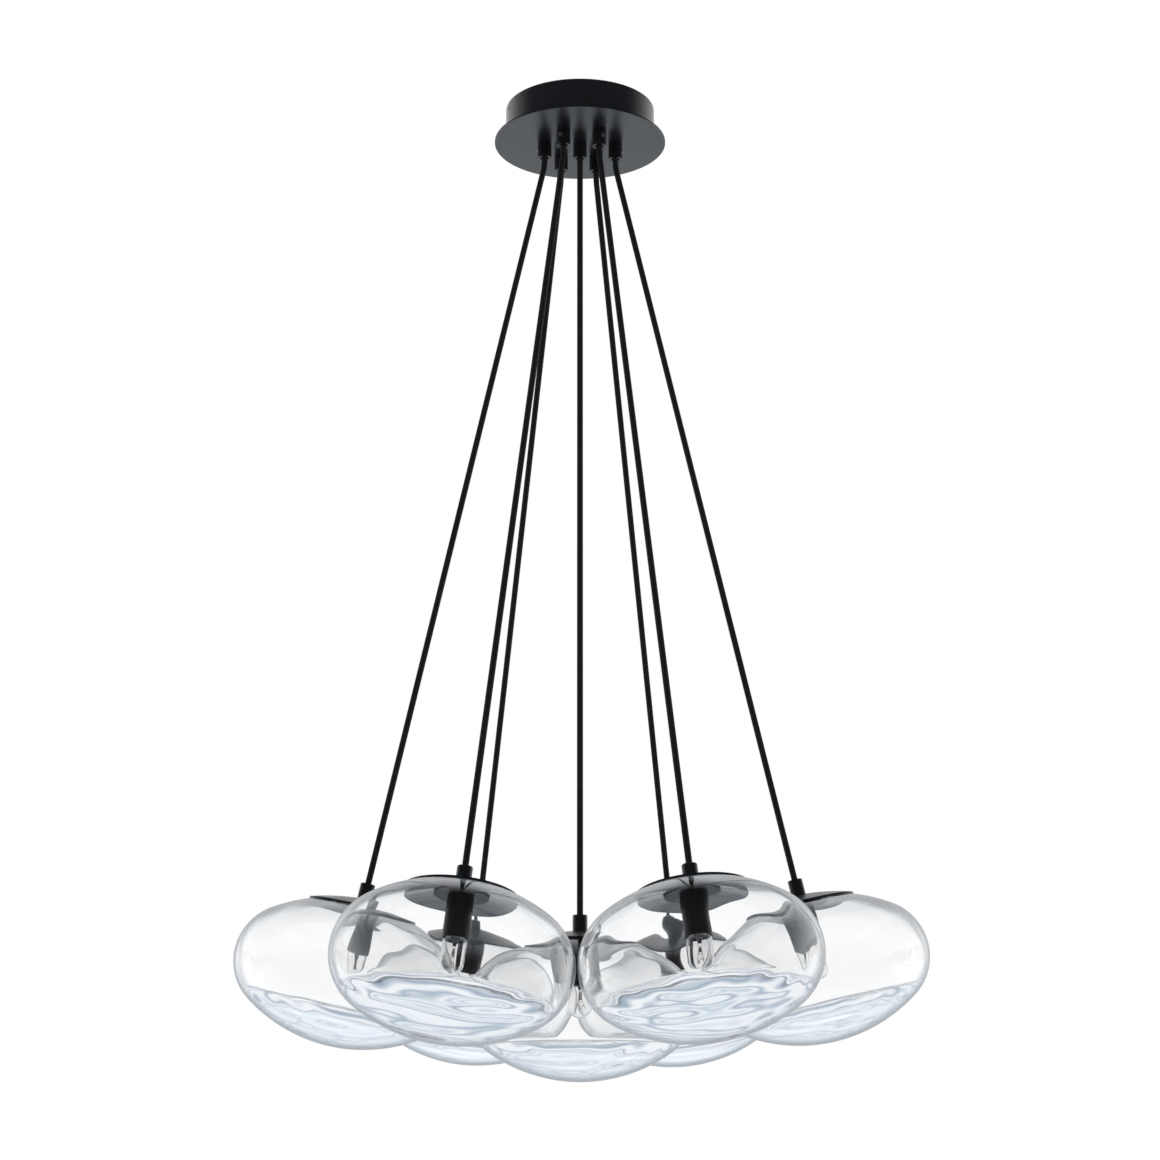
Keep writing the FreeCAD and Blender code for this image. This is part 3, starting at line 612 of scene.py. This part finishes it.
def globe_outline():
    """From the outer bottom up to the lip of the hole, and down inside to the floor."""
    lip = HOLE_RADIUS + LIP_RADIUS
    inner_crown, inner_side = CROWN_RADIUS - GLASS_WALL, SIDE_RADIUS - GLASS_WALL
    outer_lip_angle, inner_lip_angle = math.acos(lip / CROWN_RADIUS), math.acos(lip / inner_crown)
    outside = [
        arc((0, CROWN_DEPTH), CROWN_RADIUS, -math.pi / 2, -JOIN_ANGLE, UNDERSIDE_STEPS),
        arc((SIDE_MIDDLE, 0), SIDE_RADIUS, -JOIN_ANGLE, JOIN_ANGLE, SIDE_STEPS),
        arc((0, -CROWN_DEPTH), CROWN_RADIUS, JOIN_ANGLE, outer_lip_angle, CROWN_STEPS),
    ]
    lip_middle = CROWN_RADIUS - GLASS_WALL / 2
    lip_place = (lip, lip_middle * math.sin(math.acos(lip / lip_middle)) - CROWN_DEPTH)
    bend_angle = math.asin(FLOOR_BEND_START / inner_side)
    inside = [
        arc(lip_place, LIP_RADIUS, outer_lip_angle, outer_lip_angle + math.pi, LIP_STEPS),
        arc((0, -CROWN_DEPTH), inner_crown, inner_lip_angle, JOIN_ANGLE, CROWN_STEPS),
        arc((SIDE_MIDDLE, 0), inner_side, JOIN_ANGLE, bend_angle, INNER_SIDE_STEPS),
    ]
    start = inner_side * np.array((math.cos(bend_angle), math.sin(bend_angle))) + (SIDE_MIDDLE, 0)
    corner = np.array((SIDE_MIDDLE + inner_side * math.cos(JOIN_ANGLE), GLASS_FLOOR))
    end = np.array((FLOOR_BEND_END, GLASS_FLOOR))
    share = np.linspace(0, 1, BEND_STEPS, endpoint=False)[:, None]
    bend = (1 - share) ** 2 * start + 2 * share * (1 - share) * corner + share**2 * end
    across_floor = np.linspace(FLOOR_BEND_END, 0, FLOOR_STEPS)
    level_floor = np.column_stack((across_floor, np.full(FLOOR_STEPS, GLASS_FLOOR)))
    outside = np.vstack(outside)
    outside[0, 0] = 0
    return np.vstack((outside, *inside, bend, level_floor)), len(outside)


outline, outer_count = globe_outline()
print("the globe's outline has", len(outline), "points,", outer_count, "of them outside")

# %% [markdown]
# The wander is a sum of a few long waves round and up the wall, drawn with a fixed seed
# for each globe, so that no two globes are alike and each comes out the same every time.
# The outer face only ever moves inward: the globe must not outgrow its drawing. The
# floor's folds are wide arcs, with their middles well outside the globe. They lie across
# the photograph's view, and there they look like long level streaks. Rings about the
# globe's own axis would show as a target in the middle of each base.

# %% Let the glass wander
WALL_WAVES, WAVE_PEAK, SLOWEST_WAVE = 7, 1.3, 0.2
OUTER_WANDER, INNER_WANDER = 0.16 * MM, 0.26 * MM
OUTER_WAVES = {"most_around": 6, "most_per_metre": 12}
INNER_WAVES = {"most_around": 12, "most_per_metre": 22}
LIP_CALM = 12 * MM
GLOBE_STEPS = 176
FOLD_WAVES = 8
FOLD_SLOPE = 0.032
FOLD_REACH = (90 * MM, 260 * MM)
FOLD_SPREAD = 0.3
SHORTEST_FOLD, LONGEST_FOLD = 16 * MM, 46 * MM


def long_waves(draw, angle, height, most_around, most_per_metre):
    """A smooth random surface between about -1 and 1."""
    total = np.zeros_like(angle)
    for _ in range(WALL_WAVES):
        around = draw.integers(1, most_around)
        up = draw.uniform(SLOWEST_WAVE, 1) * most_per_metre
        total += np.sin(around * angle + up * height * FULL_TURN + draw.uniform(0, FULL_TURN))
    return total / math.sqrt(WALL_WAVES) / WAVE_PEAK


def floor_folds(draw, x, y, front):
    """The height of the floor's folds: wide arcs across the view, each as steep as the next."""
    folds = np.zeros_like(x)
    for _ in range(FOLD_WAVES):
        length, reach = draw.uniform(SHORTEST_FOLD, LONGEST_FOLD), draw.uniform(*FOLD_REACH)
        side = front + draw.choice((0, math.pi)) + draw.normal(0, FOLD_SPREAD)
        arcs = np.hypot(x - reach * math.cos(side), y - reach * math.sin(side))
        folds += np.sin(arcs * FULL_TURN / length + draw.uniform(0, FULL_TURN)) * length
    return folds * FOLD_SLOPE / FULL_TURN


def glass_wander(draw, outer_count, front):
    """Moves the wall's points along its slope, and the floor's points up and down."""

    def wander(radius, height, angle):
        outer = np.arange(len(radius))[:, None] < outer_count
        outward = long_waves(draw, angle, height, **OUTER_WAVES)
        inward = long_waves(draw, angle, height, **INNER_WAVES)
        off_lip = np.clip((radius - HOLE_RADIUS) / LIP_CALM, 0, 1)
        shift = off_lip * np.where(
            outer, -OUTER_WANDER * np.clip(0.5 + 0.5 * outward, 0, 1), INNER_WANDER * inward
        )
        slope = np.hypot(radius / HALF_WIDTH**2, height / HALF_HEIGHT**2)
        across, up = radius / HALF_WIDTH**2 / slope, height / HALF_HEIGHT**2 / slope
        bend = (FLOOR_BEND_START - height) / (FLOOR_BEND_START - GLASS_FLOOR)
        on_floor = np.where(outer, 0, np.clip(bend, 0, 1))
        folds = floor_folds(draw, radius * np.cos(angle), radius * np.sin(angle), front)
        radius = radius + shift * across * (1 - on_floor)
        return radius, height + shift * up * (1 - on_floor) + folds * on_floor

    return wander


# %% Blow the seven globes
def globe(pendant, seed):
    to_front = pendant.place.to_3x3().transposed() @ Vector((0, -1, 0))
    front = math.atan2(to_front.y, to_front.x)
    wander = glass_wander(np.random.default_rng(seed), outer_count, front)
    mesh = turned_mesh(f"globe_{pendant.name}", outline, GLOBE_STEPS, wander)
    return hang(mesh, pendant, pendant.body, "clear_glass", f"glass_globe_{pendant.name}")


globes = [globe(pendant, seed) for seed, pendant in enumerate(pendants)]
print("each globe has", len(globes[0].data.polygons), "faces")

# %% [markdown]
# ## Inside the bulbs
# Close up, a bulb is more than its glass. A glass stem comes up from the base and holds
# two lead wires, which spread to the ends of a thin filament. The base is a screw: its
# crest runs round it once for each 2.8 mm. It hides in the lampholder until the bulb
# slides out. All of it rides with the bulb.

# %% Make each bulb's stem, wires and screw base
BASE_LOW, SHELL_TOP, CONTACT_LOW, BASE_TOP = 26.38 * MM, 42.58 * MM, 46.58 * MM, 48.37 * MM
SHELL_RADIUS, CONTACT_RADIUS = 6.9 * MM, 2.3 * MM
THREAD_PITCH, THREAD_DEPTH = 2.82 * MM, 0.6 * MM
THREAD_ROWS, BASE_STEPS, STEM_STEPS = 60, 48, 24
WIRE_DIAMETER = 0.55 * MM
# The stem's points are (radius, height), and the wires' are (x, y, height), all in mm.
STEM_FOOT = [(3.2, 21), (5, 26), (0, 26)]
STEM = [(0, 5.5), (1.5, 5.8), (2.1, 7.2), (1.6, 9), (1.3, 12), (1.9, 17), *STEM_FOOT]
LEAD = [(1.0, 0.3, 14), (1.3, 0.8, 8), (3.2, 1.0, 3), (4.6, 0.4, -2.5)]
FILAMENT = [
    (4.6, 0.4, -2.4),
    (2.6, -1.2, 3.2),
    (0.6, -1.6, -3.4),
    (-0.6, -1.6, -3.4),
    (-2.6, -1.2, 3.2),
    (-4.6, -0.4, -2.4),
]


def screw_base(pendant):
    shell = np.linspace(BASE_LOW, SHELL_TOP, THREAD_ROWS)
    outline = [(0, BASE_LOW), *((SHELL_RADIUS, height) for height in shell)]
    outline += [(CONTACT_RADIUS, CONTACT_LOW), (CONTACT_RADIUS, BASE_TOP), (0, BASE_TOP)]

    def thread(radius, height, angle):
        on_shell = (radius > SHELL_RADIUS - THREAD_DEPTH) & (height > BASE_LOW + THREAD_DEPTH)
        crest = 0.5 + 0.5 * np.sin(height / THREAD_PITCH * FULL_TURN - angle)
        return radius - np.where(on_shell, THREAD_DEPTH * (1 - crest), 0), height

    mesh = turned_mesh(f"screw_base_{pendant.name}", outline, BASE_STEPS, thread)
    return hang(mesh, pendant, pendant.bulb_body, "bulb_metal", f"bulb_base_{pendant.name}")


def stem(pendant):
    mesh = turned_mesh(f"bulb_stem_{pendant.name}", np.array(STEM) * MM, STEM_STEPS)
    return hang(mesh, pendant, pendant.bulb_body, "bulb_clear_glass")


def wires(pendant):
    mirrored = [(-x, -y, z) for x, y, z in LEAD]
    routes = [
        [pendant.place @ (Vector(point) * MM) for point in route]
        for route in (LEAD, mirrored, FILAMENT)
    ]
    piece = round_wires(f"bulb_wires_{pendant.name}", routes, WIRE_DIAMETER)
    give_finish(piece, finishes["bulb_metal"])
    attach(piece, pendant.bulb_body)
    return piece


insides = [make(pendant) for pendant in pendants for make in (screw_base, stem, wires)]
print(len(insides), "pieces inside the bulbs and lampholders")

# %% [markdown]
# ## A white studio
# The photograph's background is pure white. The world is white to the camera, nearly
# white to rays that come through glass or off a glossy face, and plainer for everything
# else, so the background doesn't flood the lamp with light. Glass needs something to
# bend: the white falls off to a soft grey high up, and low down it has pale and grey
# bands, as a studio's floor has. The thick bases turn those into their streaks. What a
# black face mirrors is dark in front and overhead, where a studio is dark behind the
# camera, and that keeps the canopy's drum black while its underside mirrors the white.

# %% Light from all round
STUDIO_LEVEL = 0.55
FRONT_SHADE, FRONT_EDGE, OVERHEAD_SHARE = 0.95, 0.3, 0.6
# Each band is (height, colour): 0 is straight down, 0.5 level and 1 straight up.
STUDIO_BANDS = [
    (0.0, (0.76, 0.80, 0.85)),
    (0.035, (0.34, 0.42, 0.51)),
    (0.07, (0.88, 0.91, 0.94)),
    (0.10, (0.90, 0.92, 0.95)),
    (0.125, (0.40, 0.48, 0.57)),
    (0.15, (0.91, 0.93, 0.95)),
    (0.175, (0.58, 0.66, 0.74)),
    (0.20, (0.90, 0.92, 0.94)),
    (0.235, (0.62, 0.69, 0.77)),
    (0.26, (0.88, 0.91, 0.94)),
    (0.32, (0.86, 0.93, 0.99)),
    (0.40, (1.0, 1.05, 1.09)),
    (0.46, (1.1, 1.1, 1.1)),
    (0.75, (1.1, 1.1, 1.1)),
    (1.0, (0.60, 0.65, 0.71)),
]


def studio_world():
    scene = bpy.context.scene
    scene.world = bpy.data.worlds.new("studio")
    world = Finish(scene.world)
    camera_ray, glossy_ray, transmission_ray, glossy_depth = (
        world.node("ShaderNodeLightPath", output=kind)
        for kind in ("Is Camera Ray", "Is Glossy Ray", "Is Transmission Ray", "Glossy Depth")
    )
    direction = world.node("ShaderNodeTexCoord", output="Generated")
    back, height = (
        world.node("ShaderNodeSeparateXYZ", None, {0: direction}, output=axis)
        for axis in ("Y", "Z")
    )
    sky = world.node("ShaderNodeValToRGB", {"stops": STUDIO_BANDS}, {0: 0.5 + 0.5 * height})
    front_range = {
        "Value": back - OVERHEAD_SHARE * height,
        "From Min": FRONT_EDGE,
        "From Max": -FRONT_EDGE,
        "To Max": FRONT_SHADE,
    }
    in_front = world.node("ShaderNodeMapRange", None, front_range)
    mirrored = world.mix(in_front, sky, (0, 0, 0))
    level = (STUDIO_LEVEL,) * 3
    looked_at = world.mix(glossy_depth, sky, mirrored)
    seen = world.mix(glossy_ray + transmission_ray, level, looked_at)
    background = world.tree.nodes["Background"]
    world.feed(background.inputs["Color"], world.mix(camera_ray, seen, (1, 1, 1)))


studio_world()
print(len(STUDIO_BANDS), "bands in the studio's white")

# %% [markdown]
# ## Soft boxes and a floor
# Three large soft lamps at the sides and the rear give the black pieces their soft
# shades. They are hidden from glass and gloss, which would show them as bright squares.
# Glass and gloss look past the floor too, to the world that stands in for it. For the
# camera the floor glows, and its lit face then clips to plain white, so the faint shadow
# of the lamp doesn't show on it.

# %% Set up the soft boxes and the floor
LAMP_AIM = Vector((0, 0, -0.7))
SOFT_BOXES = {
    "left_soft_box": ((-2.6, -1.2, -0.3), 1.6, 26),
    "right_soft_box": ((2.8, -0.6, -0.2), 1.6, 22),
    "rear_soft_box": ((0.6, 2.8, 0.4), 1.8, 18),
}
FLOOR_WIDTH, FLOOR_HEIGHT = 14.0, -2.4
FLOOR_COLOUR, FLOOR_ROUGHNESS, FLOOR_GLOW = (0.8, 0.8, 0.8), 0.9, 0.62


def soft_box(name, place, size, power):
    """A square soft lamp that faces the globes, and that neither the camera nor a mirror sees."""
    light = bpy.data.lights.new(name, "AREA")
    light.size = size
    light.energy = power
    made = bpy.data.objects.new(name, light)
    made.location = place
    aim = LAMP_AIM - Vector(place)
    made.rotation_euler = aim.to_track_quat("-Z", "Y").to_euler()
    made.visible_camera = False
    made.visible_glossy = False
    made.visible_transmission = False
    bpy.context.scene.collection.objects.link(made)


def floor():
    """A pale floor, plain white to the camera from above and not there from below."""
    mesh = bpy.data.meshes.new("floor")
    half = FLOOR_WIDTH / 2
    corners = [(-half, -half), (half, -half), (half, half), (-half, half)]
    mesh.from_pydata([(x, y, FLOOR_HEIGHT) for x, y in corners], [], [(0, 1, 2, 3)])
    made = bpy.data.objects.new("floor", mesh)
    bpy.context.scene.collection.objects.link(made)
    made.visible_glossy = False
    made.visible_transmission = False
    paint = Paint("floor_white", Base_Color=FLOOR_COLOUR, Roughness=FLOOR_ROUGHNESS)
    camera_ray = paint.node("ShaderNodeLightPath", output="Is Camera Ray")
    glow = paint.mix(camera_ray, (0, 0, 0), (FLOOR_GLOW,) * 3)
    paint.set(Emission_Color=glow, Emission_Strength=1.0)
    from_below = paint.node("ShaderNodeNewGeometry", output="Backfacing")
    clear = paint.node("ShaderNodeBsdfTransparent")
    shader = Field(paint, paint.shader.outputs[0])
    one_sided = paint.node("ShaderNodeMixShader", None, {0: from_below, 1: shader, 2: clear})
    paint.feed(paint.tree.nodes["Material Output"].inputs["Surface"], one_sided)
    give_finish(made, paint.owner)


floor()
for name, settings in SOFT_BOXES.items():
    soft_box(name, *settings)
bpy.context.scene.view_settings.view_transform = "Standard"
print(len(SOFT_BOXES), "soft boxes and a floor", FLOOR_HEIGHT, "m from the ceiling")
